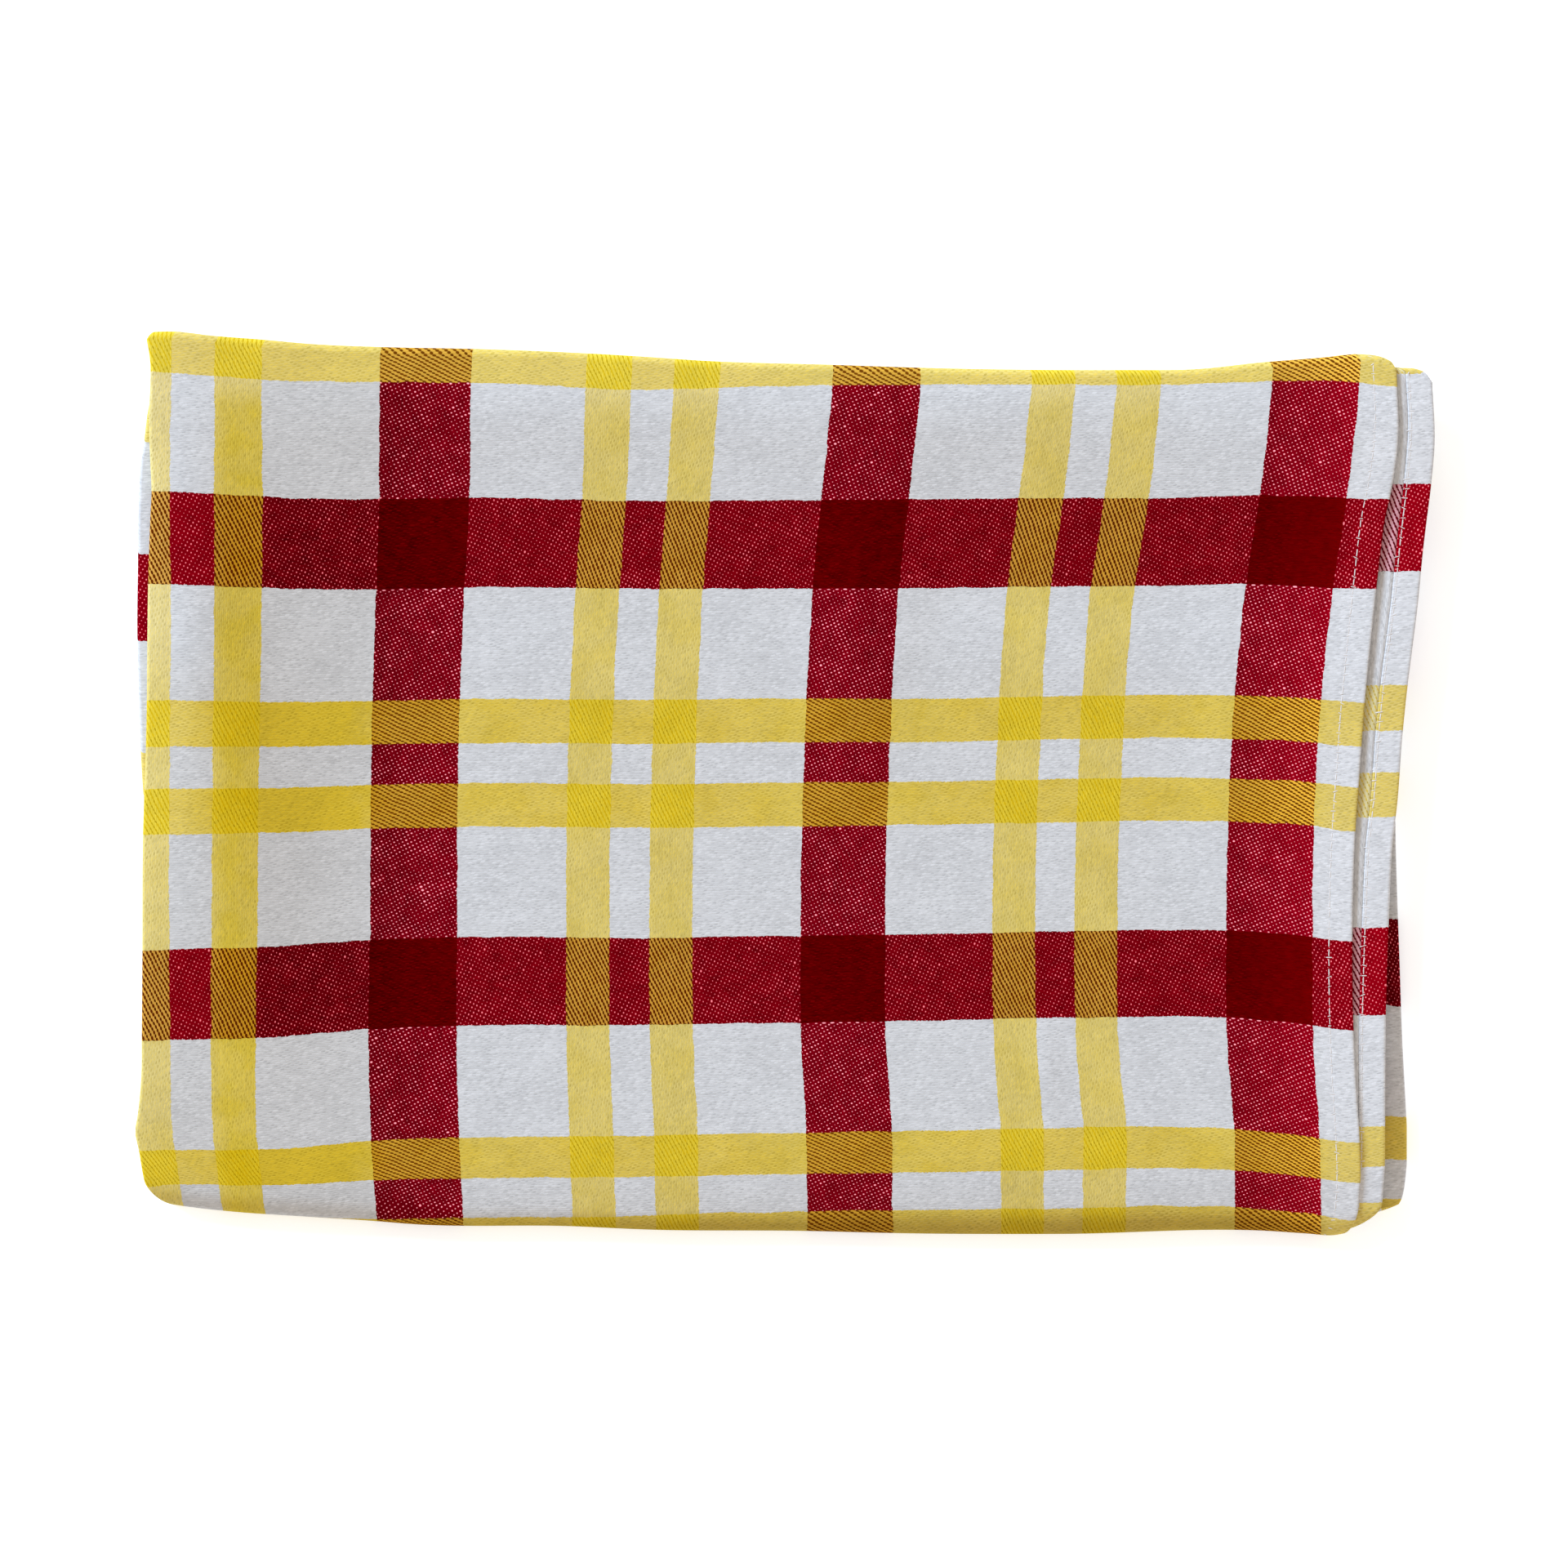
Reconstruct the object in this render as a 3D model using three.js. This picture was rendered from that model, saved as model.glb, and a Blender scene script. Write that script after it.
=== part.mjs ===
// Folded tablecloth: one hemmed cotton cloth, folded once across its width and twice along its length.
// Millimetres, +Z up. The packet lies on z = 0 with its crosswise fold at -X, its side hems at +X and
// its lengthwise folds at +Y and -Y. The origin is under the middle of the packet.
import * as THREE from 'three';

// The flat cloth, and how much longer the under half of the crosswise fold is than the upper half
const clothWidth = 1000;
const clothLength = 1400;
const underHalfExtra = 16;

// The sheet, its hem and the air between the layers
const sheetThickness = 1.0;
const hemWidth = 9.5;
const hemExtra = 0.3;
const halvesGap = 0.9;
const pairsGap = 0.45;

// The shapes of the folds
const outerWrapReach = 7.0;
const hemTipRound = 0.4;
const hemStep = 0.3;
const bendDegrees = [135, 180, 225];
const foldSteps = 6;
const outerWrapSteps = 10;

// How far the hidden runs are drawn in behind the ones that show
const hiddenInset = 4;
const hiddenHalfExtra = 18;
const freeEdgeInsets = { first: 1.5, last: 3.0 };

const foldCount = 4;
const runDepth = clothLength / foldCount;
const upperHalf = (clothWidth - underHalfExtra) / 2;
const underHalf = (clothWidth + underHalfExtra) / 2;
const crosswiseFoldX = -underHalf / 2;
const upperHemX = crosswiseFoldX + upperHalf;
const underHemX = crosswiseFoldX + underHalf;

const halfGap = halvesGap / 2;
const pairHalf = halfGap + sheetThickness;
const pairPitch = 2 * pairHalf + pairsGap;
const foldRadius = pairPitch / 2;

// The uneven outline along the runs. share is 0 at the +Y folds and 1 at the -Y folds, and the other
// columns say how far each edge lies to +X of its place in an even packet: the crosswise fold and the
// two hems of the top run, the fold of the second run and the long hem of the third run.
const sections = [
  { share: 0.0, fold: -0.6, upperHem: 6.3, underHem: 4.0, secondFold: 0.3, thirdHem: -8.1 },
  { share: 0.04, fold: 1.2, upperHem: 7.0, underHem: 5.6, secondFold: 0.6, thirdHem: -6.4 },
  { share: 0.1, fold: -0.4, upperHem: 6.0, underHem: 4.6, secondFold: -0.6, thirdHem: -5.8 },
  { share: 0.18, fold: 2.9, upperHem: 1.3, underHem: 1.5, secondFold: -3.7, thirdHem: -7.1 },
  { share: 0.3, fold: 0.6, upperHem: -3.3, underHem: -2.0, secondFold: -4.1, thirdHem: -8.4 },
  { share: 0.42, fold: -0.1, upperHem: -7.2, underHem: -6.9, secondFold: -3.7, thirdHem: -9.4 },
  { share: 0.54, fold: -1.0, upperHem: -10.1, underHem: -10.7, secondFold: -2.4, thirdHem: -9.2 },
  { share: 0.68, fold: -1.9, upperHem: -11.6, underHem: -13.0, secondFold: -0.4, thirdHem: -8.0 },
  { share: 0.82, fold: -1.7, upperHem: -10.3, underHem: -13.9, secondFold: 0.3, thirdHem: -6.4 },
  { share: 0.9, fold: -3.3, upperHem: -8.7, underHem: -13.9, secondFold: 0.0, thirdHem: -5.6 },
  { share: 0.95, fold: -4.3, upperHem: -8.0, underHem: -14.3, secondFold: 0.0, thirdHem: -5.0 },
  { share: 1.0, fold: -1.0, upperHem: -9.0, underHem: -15.4, secondFold: 1.2, thirdHem: -8.8 },
];

// The uneven outline across the packet: how far the +Y and -Y folds lie to +Y of an even packet's.
// The rows between the ends are also the places of the points across each layer.
const columns = [
  { x: -260, farFold: 5.8, nearFold: 9.5 },
  { x: -225, farFold: 3.9, nearFold: 4.5 },
  { x: -180, farFold: 0.6, nearFold: 1.2 },
  { x: -120, farFold: -1.2, nearFold: -1.0 },
  { x: -60, farFold: -4.6, nearFold: -1.6 },
  { x: 0, farFold: -7.6, nearFold: -2.5 },
  { x: 60, farFold: -9.7, nearFold: -3.5 },
  { x: 120, farFold: -10.6, nearFold: -3.8 },
  { x: 165, farFold: -8.8, nearFold: -3.8 },
  { x: 208, farFold: -4.9, nearFold: -4.5 },
  { x: 262, farFold: -10.5, nearFold: -1.0 },
];

// Soft rises and hollows of the packet: rise is a share of the height at the middle of each
const swells = [
  { x: -213, y: 0, reachX: 32, reachY: 420, rise: -0.08 },
  { x: 150, y: -10, reachX: 75, reachY: 230, rise: 0.07 },
  { x: -90, y: 150, reachX: 150, reachY: 45, rise: 0.06 },
  { x: 30, y: -80, reachX: 70, reachY: 60, rise: -0.04 },
];

// Where each run of the cloth has its crosswise fold and its two hems, for one row of the sections
const runEdges = {
  third: (row) => ({
    fold: crosswiseFoldX + row.fold + hiddenInset,
    upperHem: underHemX + row.thirdHem - hiddenHalfExtra,
    underHem: underHemX + row.thirdHem,
  }),
  second: (row) => ({
    fold: crosswiseFoldX + row.secondFold,
    upperHem: upperHemX + row.upperHem - hiddenInset,
    underHem: underHemX + row.underHem - hiddenInset,
  }),
  top: (row) => ({
    fold: crosswiseFoldX + row.fold,
    upperHem: upperHemX + row.upperHem,
    underHem: underHemX + row.underHem,
  }),
  bottom: (row) => ({
    fold: crosswiseFoldX + row.fold + hiddenInset,
    upperHem: upperHemX + row.upperHem - hiddenInset,
    underHem: underHemX + row.underHem - hiddenInset,
  }),
};

// The runs in the order that the cloth passes through them. level counts from the bottom, faceUp is 1
// where the right side of the upper half looks up, and every other run goes back towards +Y.
const runs = [
  { edges: runEdges.third, level: 1, faceUp: 1 },
  { edges: runEdges.second, level: 2, faceUp: -1 },
  { edges: runEdges.top, level: 3, faceUp: 1 },
  { edges: runEdges.bottom, level: 0, faceUp: -1 },
];

// The fold after each run: how far its mid-line reaches, and how far its corners are drawn in
const folds = [
  { reach: foldRadius, steps: foldSteps, drawIn: { fold: 4, upperHem: -3, underHem: -10 } },
  { reach: foldRadius, steps: foldSteps, drawIn: { fold: 0, upperHem: 0, underHem: -6 } },
  { reach: outerWrapReach, steps: outerWrapSteps, drawIn: { fold: 10, upperHem: -3, underHem: -12 } },
];

const farInset = foldRadius + pairHalf;
const nearInset = outerWrapReach + pairHalf;

function levelHeight(level) {
  return pairHalf + level * pairPitch;
}

function mix(from, to, share) {
  return from + (to - from) * share;
}

// The value of a column of the outline at x, on straight lines between the rows
function outlineAt(x, column) {
  const last = columns.length - 2;
  const found = columns.findIndex((row, i) => i <= last && x < columns[i + 1].x);
  const i = found < 0 ? last : found;
  const low = columns[i];
  const high = columns[i + 1];
  return mix(low[column], high[column], (x - low.x) / (high.x - low.x));
}

function heightShare(x, y) {
  const bump = (swell) => {
    const across = (x - swell.x) / swell.reachX;
    const along = (y - swell.y) / swell.reachY;
    return swell.rise * Math.exp(-across * across - along * along);
  };
  return swells.reduce((sum, swell) => sum + bump(swell), 1);
}

// The section of the folded pair, as the two sides of a U-shaped ribbon from the upper hem round the
// crosswise fold to the under hem. A point is [x, n], and n is measured from the middle of the pair.
function pairProfile(edges, endHem) {
  const inner = endHem ? halfGap - hemExtra : halfGap;
  const hemInner = halfGap - hemExtra;
  const bendX = edges.fold + pairHalf;
  const across = columns.slice(1, -1).map((row) => row.x);
  const half = (hem, side) => {
    const rows = [
      ...[bendX, ...across, hem - hemWidth - hemStep].map((x) => [x, pairHalf, inner]),
      [hem - hemWidth, pairHalf, hemInner],
      [hem - hemTipRound, pairHalf, hemInner],
      [hem, pairHalf - hemTipRound, hemInner + hemTipRound],
    ];
    return rows.map(([x, far, near]) => ({ outside: [x, side * far], inside: [x, side * near] }));
  };
  const bend = bendDegrees.map((degrees) => {
    const angle = THREE.MathUtils.degToRad(degrees);
    const at = (radius) => [bendX + radius * Math.cos(angle), radius * Math.sin(angle)];
    return { outside: at(pairHalf), inside: at(inner) };
  });
  const ribbon = [...half(edges.upperHem, 1).reverse(), ...bend, ...half(edges.underHem, -1)];
  return [...ribbon.map((row) => row.outside), ...ribbon.map((row) => row.inside).reverse()];
}

// One section across the cloth: the place of its mid-line, the way its upper half faces and its edges
function station(share, reach, height, facing, edges, endHem = false) {
  return { share, reach, height, facing, profile: pairProfile(edges, endHem) };
}

function runStations(run, index) {
  const height = levelHeight(run.level);
  const facing = [0, run.faceUp];
  const stations = sections.map((row) => station(row.share, 0, height, facing, run.edges(row)));
  const isFirst = index === 0;
  const isLast = index === runs.length - 1;
  if (isFirst || isLast) {
    // The free edge stands a little inside the fold above it, and is hemmed
    const inset = isFirst ? freeEdgeInsets.first : freeEdgeInsets.last;
    const edges = run.edges(sections[0]);
    const hemEnd = inset + hemWidth;
    stations.splice(
      0,
      1,
      station(0, -inset, height, facing, edges, true),
      station(0, -hemEnd, height, facing, edges, true),
      station(0, -hemEnd - hemStep, height, facing, edges),
    );
  }
  return index % 2 === 0 ? stations : stations.reverse();
}

// The half turn from one run to the next, an ellipse in Y and Z; its first and last points belong to
// the runs
function foldStations(fold, index) {
  const from = runs[index];
  const to = runs[index + 1];
  const isNear = index % 2 === 0;
  const row = isNear ? sections[sections.length - 1] : sections[0];
  const centre = (levelHeight(from.level) + levelHeight(to.level)) / 2;
  const rise = levelHeight(from.level) - centre;
  const outwardSide = isNear ? -1 : 1;
  const upperHalfOutside = from.faceUp * Math.sign(rise);
  const start = from.edges(row);
  const end = to.edges(row);
  const stations = [];
  for (let i = 1; i < fold.steps; i += 1) {
    const angle = Math.PI * i / fold.steps;
    const outward = new THREE.Vector2(
      outwardSide * Math.sin(angle) / fold.reach,
      Math.cos(angle) / rise,
    ).normalize().multiplyScalar(upperHalfOutside);
    const edges = {};
    for (const name of Object.keys(start)) {
      edges[name] = mix(start[name], end[name], i / fold.steps) + fold.drawIn[name] * Math.sin(angle);
    }
    const reach = outwardSide * fold.reach * Math.sin(angle);
    const height = centre + rise * Math.cos(angle);
    stations.push(station(row.share, reach, height, [outward.x, outward.y], edges));
  }
  return stations;
}

function placePoint(place, [x, n]) {
  const far = runDepth / 2 + outlineAt(x, 'farFold') - farInset;
  const near = -runDepth / 2 + outlineAt(x, 'nearFold') + nearInset;
  const y = mix(far, near, place.share) + place.reach + n * place.facing[0];
  const z = place.height + n * place.facing[1];
  return [x, y, z * heightShare(x, y)];
}

// The closed skin: quads between neighbouring sections, and a cap of quads from the outside to the
// inside of the ribbon on each free edge. In plan every diagonal leans the same way, so that the
// layers stay parallel.
function buildCloth() {
  const stations = runs.flatMap((run, index) => [
    ...runStations(run, index),
    ...(index < folds.length ? foldStations(folds[index], index) : []),
  ]);
  const rings = stations.map((place) => place.profile.map((point) => placePoint(place, point)));
  const count = rings[0].length;
  const triangles = [];
  for (let i = 0; i + 1 < rings.length; i += 1) {
    for (let j = 0; j < count; j += 1) {
      const next = (j + 1) % count;
      const a = i * count + j;
      const b = i * count + next;
      const c = a + count;
      const d = b + count;
      const stepX = rings[i][next][0] - rings[i][j][0];
      const stepY = rings[i + 1][j][1] - rings[i][j][1];
      if (stepX * stepY > 0) {
        triangles.push([a, b, d], [a, d, c]);
      } else {
        triangles.push([a, b, c], [b, d, c]);
      }
    }
  }
  const lastRing = (rings.length - 1) * count;
  for (let j = 0; j + 1 < count / 2; j += 1) {
    const across = [j, j + 1, count - 2 - j, count - 1 - j];
    const [a, b, c, d] = across;
    triangles.push([a, c, b], [a, d, c]);
    const [e, f, g, h] = across.map((corner) => corner + lastRing);
    triangles.push([e, f, g], [e, g, h]);
  }

  const geometry = new THREE.BufferGeometry();
  geometry.setAttribute('position', new THREE.Float32BufferAttribute(rings.flat(2), 3));
  geometry.setIndex(triangles.flat());
  geometry.computeBoundingBox();
  const centre = geometry.boundingBox.getCenter(new THREE.Vector3());
  geometry.translate(-centre.x, -centre.y, -geometry.boundingBox.min.z);
  geometry.computeVertexNormals();
  return geometry;
}

const cotton = new THREE.MeshStandardMaterial({ color: 0xcbb48a, roughness: 0.85, metalness: 0 });
const cloth = new THREE.Mesh(buildCloth(), cotton);
cloth.name = 'tablecloth';

const group = new THREE.Group();
group.add(cloth);

export default group;
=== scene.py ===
import math

import bpy
import numpy as np
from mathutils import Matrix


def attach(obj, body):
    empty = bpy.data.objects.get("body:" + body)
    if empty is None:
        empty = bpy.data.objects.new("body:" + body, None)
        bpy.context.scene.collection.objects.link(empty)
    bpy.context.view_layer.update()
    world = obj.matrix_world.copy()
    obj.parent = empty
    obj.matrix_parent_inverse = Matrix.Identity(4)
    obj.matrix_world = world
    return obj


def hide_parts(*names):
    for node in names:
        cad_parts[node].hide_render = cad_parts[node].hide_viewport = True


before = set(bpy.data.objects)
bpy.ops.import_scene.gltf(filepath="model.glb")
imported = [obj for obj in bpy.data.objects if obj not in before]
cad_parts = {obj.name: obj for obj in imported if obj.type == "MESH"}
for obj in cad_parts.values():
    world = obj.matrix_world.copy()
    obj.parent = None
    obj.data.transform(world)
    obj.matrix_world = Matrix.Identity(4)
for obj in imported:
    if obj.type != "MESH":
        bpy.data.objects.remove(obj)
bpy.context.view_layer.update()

# Folded tablecloth. Lengths are in millimetres until a mesh is made, and x and y are counted from the
# middle of the picture; packetCentre brings them to the frame of the CAD.
mm = 0.001
packetCentre = (0.65, 0.452)

view = {
    "pixelsPerMm": 3.07,    # of the 1920 pixel picture, at the top layer
    "pixels": 1920,
    "distance": 2400.0,     # from the top layer to the lens
    "sensor": 36.0,
}

cloth = {
    "width": 1000.0,
    "length": 1400.0,
    "thickness": 0.68,
    "edgeRound": 0.42,      # how far its cut edges stand out, as a share of the thickness
    "pairHalf": 1.45,       # from the middle of the folded pair to its outside
    "pairPitch": 3.35,      # from one pair to the next
    "wrapReach": 7.0,       # of the outer wrap at the near edge
    "hemWidth": 10.4,
    "stitchInset": 9.4,     # of the stitches from the hem's edge
    "stitchDimple": 0.03,   # how far they draw the cloth in, and over what reach
    "dimpleReach": 0.45,
    "hemAir": 0.085,        # between the hem's two layers
    "edgeHem": 0.72,        # how much thicker the hem of a free end is
    "hemSwell": (0.58, 0.56, 0.3),      # of the inner side, at three points beside the under hem
    "repeat": 175.2,        # of the check
    "repeatThreads": 260,
}

# The outline: where each edge lies, as pairs of y and x for the edges at the left and right, and of x
# and y for the folds at the far and near side
outline = {
    "topFold": [
        (-162.5, -254.7), (-156.0, -256.0), (-145.9, -257.7), (-140.1, -259.0), (-132.9, -258.0),
        (-116.9, -256.5), (-101.0, -256.3), (-65.8, -256.0), (-22.5, -255.7), (21.2, -254.2),
        (58.0, -253.7), (78.5, -253.4), (87.3, -253.2), (107.5, -252.5), (116.3, -252.1),
        (128.0, -252.6), (139.4, -253.1), (148.2, -253.2), (159.9, -252.8), (167.1, -252.8),
        (180.5, -255.0),
    ],
    "upperHem": [
        (-166.8, 229.3), (-155.4, 230.0), (-140.7, 229.6), (-116.3, 228.0), (-94.1, 227.0),
        (-62.5, 226.6), (-17.9, 227.8), (6.8, 229.6), (27.7, 231.1), (49.2, 233.2), (70.0, 235.4),
        (87.0, 237.3), (105.5, 239.6), (117.3, 242.0), (130.3, 244.0), (143.3, 245.0), (158.0, 244.6),
        (167.8, 244.3),
    ],
    "underHem": [
        (-167.8, 238.8), (-153.7, 239.7), (-133.2, 239.8), (-90.6, 240.1), (-49.5, 241.4),
        (-23.5, 242.7), (-6.5, 244.6), (20.2, 246.6), (39.1, 248.5), (54.1, 250.4), (75.6, 253.0),
        (96.1, 254.9), (109.4, 256.4), (125.4, 258.2), (145.9, 259.6), (160.9, 259.0),
    ],
    "secondFold": [
        (-170.0, -254.0), (-60.0, -254.6), (-10.7, -255.6), (14.0, -257.0), (36.2, -257.7),
        (58.0, -258.3), (87.3, -258.0), (116.3, -257.7), (130.3, -256.8), (133.5, -256.4),
        (136.8, -255.6), (140.0, -255.2), (146.6, -254.5), (152.8, -253.2), (175.0, -251.0),
    ],
    "thirdHem": [
        (-168.1, 246.2), (-165.8, 247.3), (-162.5, 248.1), (-155.4, 249.0), (-120.2, 248.4),
        (-101.6, 247.4), (-71.7, 246.4), (-49.5, 245.6), (-12.1, 244.6), (60.0, 245.6), (160.0, 247.0),
    ],
    "farFold": [
        (-255.0, 180.5), (-243.6, 180.8), (-229.3, 179.2), (-207.5, 177.5), (-189.9, 175.9),
        (-159.6, 174.6), (-124.4, 173.9), (-91.2, 172.7), (-53.4, 170.6), (-34.9, 169.3),
        (18.9, 167.5), (71.0, 165.9), (134.2, 165.4), (165.5, 165.8), (190.2, 168.4), (215.3, 170.4),
        (230.3, 171.7), (239.1, 170.4), (244.0, 168.1), (252.8, 167.1), (255.8, 165.9), (258.2, 163.8),
    ],
    "nearFold": [
        (-258.0, -165.6), (-243.6, -168.4), (-224.8, -170.7), (-192.8, -173.0), (-163.8, -174.9),
        (-149.2, -176.1), (-84.7, -177.0), (-55.7, -178.3), (8.5, -178.9), (46.3, -179.8),
        (110.1, -180.1), (194.5, -178.9), (209.1, -179.9), (220.5, -180.5), (224.4, -179.8),
        (240.0, -176.5), (250.0, -176.8),
    ],
}

# Soft rises and hollows: place, reach across and along, turn in degrees, and rise as a share of the height
swells = [
    {"at": (-238, 90), "reach": (23, 75), "turn": 4, "rise": 0.30},        # the crosswise folds
    {"at": (-229, -10), "reach": (26, 90), "turn": 6, "rise": 0.28},
    {"at": (-206, 0), "reach": (48, 130), "turn": 4, "rise": 0.20},
    {"at": (-165, -20), "reach": (40, 110), "turn": 0, "rise": -0.16},
    {"at": (262, 0), "reach": (60, 230), "turn": 0, "rise": 0.26},         # the stack of hems
    {"at": (-110, 150), "reach": (110, 20), "turn": 0, "rise": 0.12},      # beside the far edge
    {"at": (70, 149), "reach": (80, 21), "turn": 0, "rise": 0.17},
    {"at": (200, 146), "reach": (60, 22), "turn": 0, "rise": 0.09},
    {"at": (-10, 190), "reach": (420, 32), "turn": -1.5, "rise": -0.20},
    {"at": (-120, 80), "reach": (80, 28), "turn": 0, "rise": -0.08},
    {"at": (118, 83), "reach": (90, 28), "turn": 0, "rise": -0.17},
    {"at": (30, 70), "reach": (13, 60), "turn": -8, "rise": 0.13},
    {"at": (46, 55), "reach": (10, 40), "turn": -14, "rise": 0.05},
    {"at": (96, 20), "reach": (26, 30), "turn": 0, "rise": -0.07},
    {"at": (150, 20), "reach": (30, 60), "turn": 0, "rise": -0.08},
    {"at": (104, -115), "reach": (5, 26), "turn": 4, "rise": 0.06},
    {"at": (0, -188), "reach": (420, 23), "turn": 0, "rise": -0.33},       # beside the near edge
    {"at": (-250, -172), "reach": (30, 24), "turn": 0, "rise": -0.08},
    {"at": (225, -170), "reach": (40, 22), "turn": 0, "rise": -0.10},
]


def curveThrough(knots, values, at):
    # The curve through (knot, value) pairs: on each span a cubic whose end slopes are the central
    # differences, and a straight line past either end. values may hold one column for each entry of at.
    knots, values, at = np.asarray(knots, float), np.asarray(values, float), np.asarray(at, float)
    slopes = np.gradient(values, knots, axis=0)
    inside = np.clip(at, knots[0], knots[-1])
    low = np.clip(np.searchsorted(knots, inside, side="right") - 1, 0, len(knots) - 2)
    span = knots[low + 1] - knots[low]
    t = (inside - knots[low]) / span

    def pick(table, row):
        return table[row] if table.ndim == 1 else np.take_along_axis(table, row[None], 0)[0]

    a, b = pick(values, low), pick(values, low + 1)
    slopeA, slopeB = pick(slopes, low) * span, pick(slopes, low + 1) * span
    curve = a + t * (slopeA + t * (3 * (b - a) - 2 * slopeA - slopeB + t * (2 * (a - b) + slopeA + slopeB)))
    past = at - inside
    return curve + past * pick(slopes, np.where(past < 0, 0, len(knots) - 1))


def edgeAt(name, at):
    table = np.array(outline[name])
    return curveThrough(table[:, 0], table[:, 1], at)


def smoothStep(low, high, value):
    t = np.clip((value - low) / (high - low), 0, 1)
    return t * t * (3 - 2 * t)


# The heights and folds of the packet
foldRadius = cloth["pairPitch"] / 2
farInset = foldRadius + cloth["pairHalf"]
nearInset = cloth["wrapReach"] + cloth["pairHalf"]
hiddenInset = 4.0           # of a hidden run's edges, inside those of the top run
thirdUpperInset = 18.0      # of the third run's upper hem, inside its under hem
sideX = (-255.0, 240.0)     # where the far and near lines are read for the edges at the left and right

# The runs in the order that the cloth passes through them, how finely each is divided and, at a free end, how
# far it stands inside the fold above it
runs = [
    {"name": "third", "level": 1, "faceUp": 1, "rows": 22, "endInset": 1.5},
    {"name": "second", "level": 2, "faceUp": -1, "rows": 34},
    {"name": "top", "level": 3, "faceUp": 1, "rows": 100},
    {"name": "bottom", "level": 0, "faceUp": -1, "rows": 20, "endInset": 3.0},
]
cornerShares = [0.97, 0.98, 0.988, 0.994]       # more rows of the third run, where its hem's corner shows
hemEnd = cloth["hemWidth"]
# The rows at a free end: distance from its edge, and how full the hem's extra layer and the cloth are there
freeEnd = [
    (0.0, 0.75, 0.3), (0.12, 0.9, 0.75), (0.4, 1, 1), (1.2, 1, 1), (4.0, 1, 1), (hemEnd - 1.6, 1, 1),
    (hemEnd - 1.0, 0.8, 0.85), (hemEnd - 0.3, 1, 1), (hemEnd + 0.3, 0, 1), (hemEnd + 3.0, 0, 1),
]
# The fold after each run: its reach, its steps and how far its corners are drawn in
folds = [
    {"reach": foldRadius, "steps": 10, "drawIn": {"fold": 4, "upper": -3, "under": -5}},
    {"reach": foldRadius, "steps": 12, "drawIn": {"fold": 0, "upper": 0, "under": -2}},
    {"reach": cloth["wrapReach"], "steps": 20, "drawIn": {"fold": 8, "upper": -3, "under": -12}},
]


def farLine(x):
    return edgeAt("farFold", x) - farInset


def nearLine(x):
    return edgeAt("nearFold", x) + nearInset


def levelHeight(level):
    return cloth["pairHalf"] + cloth["pairPitch"] * level


def runEdges(name, share):
    # The crosswise fold and the two hems of a run, looked up at the y that the share has at either side
    left, right = (farLine(x) + (nearLine(x) - farLine(x)) * share for x in sideX)
    fold, upper, under = edgeAt("topFold", left), edgeAt("upperHem", right), edgeAt("underHem", right)
    if name == "third":
        long = edgeAt("thirdHem", right)
        return {"fold": fold + hiddenInset, "upper": long - thirdUpperInset, "under": long}
    if name == "top":
        return {"fold": fold, "upper": upper, "under": under}
    fold = edgeAt("secondFold", left) if name == "second" else fold + hiddenInset
    return {"fold": fold, "upper": upper - hiddenInset, "under": under - hiddenInset}


def stationSet(count, **values):
    # One row for each station along the cloth; a single number is repeated
    return {name: np.broadcast_to(np.array(value, float), count).copy() for name, value in values.items()}


def runStations(index):
    run = runs[index]
    share = np.linspace(0, 1, run["rows"])
    if run["name"] == "third":
        share = np.union1d(share, cornerShares)
    reach, hem, body = np.zeros_like(share), np.zeros_like(share), np.ones_like(share)
    if "endInset" in run:
        distance, endHem, endBody = np.array(freeEnd).T
        share = np.concatenate([np.zeros(len(distance)), share[1:]])
        reach = np.concatenate([-(distance + run["endInset"]), reach[1:]])
        hem = np.concatenate([endHem, hem[1:]])
        body = np.concatenate([endBody, body[1:]])
    made = stationSet(
        len(share), share=share, reach=reach, height=levelHeight(run["level"]), outY=0.0,
        outZ=run["faceUp"], hem=hem, body=body, run=index, **runEdges(run["name"], share))
    if index % 2 == 1:
        made = {name: values[::-1] for name, values in made.items()}
    return made


def foldStations(index):
    # The half turn from one run to the next: an ellipse in y and z whose outward normal is carried along
    fold, before, after = folds[index], runs[index], runs[index + 1]
    near = index % 2 == 0
    share = 1.0 if near else 0.0
    side = -1.0 if near else 1.0
    centre = (levelHeight(before["level"]) + levelHeight(after["level"])) / 2
    rise = levelHeight(before["level"]) - centre
    turn = np.arange(1, fold["steps"]) / fold["steps"]
    angle = math.pi * turn
    outY, outZ = side * np.sin(angle) / fold["reach"], np.cos(angle) / rise
    facing = before["faceUp"] * np.sign(rise) / np.hypot(outY, outZ)
    start, end = runEdges(before["name"], share), runEdges(after["name"], share)
    drawn = 1 - np.abs(np.cos(angle))
    edges = {name: start[name] + (end[name] - start[name]) * turn + fold["drawIn"][name] * drawn
             for name in start}
    return stationSet(
        len(turn), share=share, reach=side * fold["reach"] * np.sin(angle),
        height=centre + rise * np.cos(angle), outY=outY * facing, outZ=outZ * facing, hem=0.0, body=1.0,
        run=index + turn, **edges)


def heightShare(x, y):
    # 1 plus the sum of the swells, rise * exp(-(across / reach)^2 - (along / reach)^2) in turned axes
    total = np.ones_like(x)
    for swell in swells:
        turn = math.radians(swell["turn"])
        dx, dy = x - swell["at"][0], y - swell["at"][1]
        across = (dx * math.cos(turn) + dy * math.sin(turn)) / swell["reach"][0]
        along = (dy * math.cos(turn) - dx * math.sin(turn)) / swell["reach"][1]
        total += swell["rise"] * np.exp(-across ** 2 - along ** 2)
    return total


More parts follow.
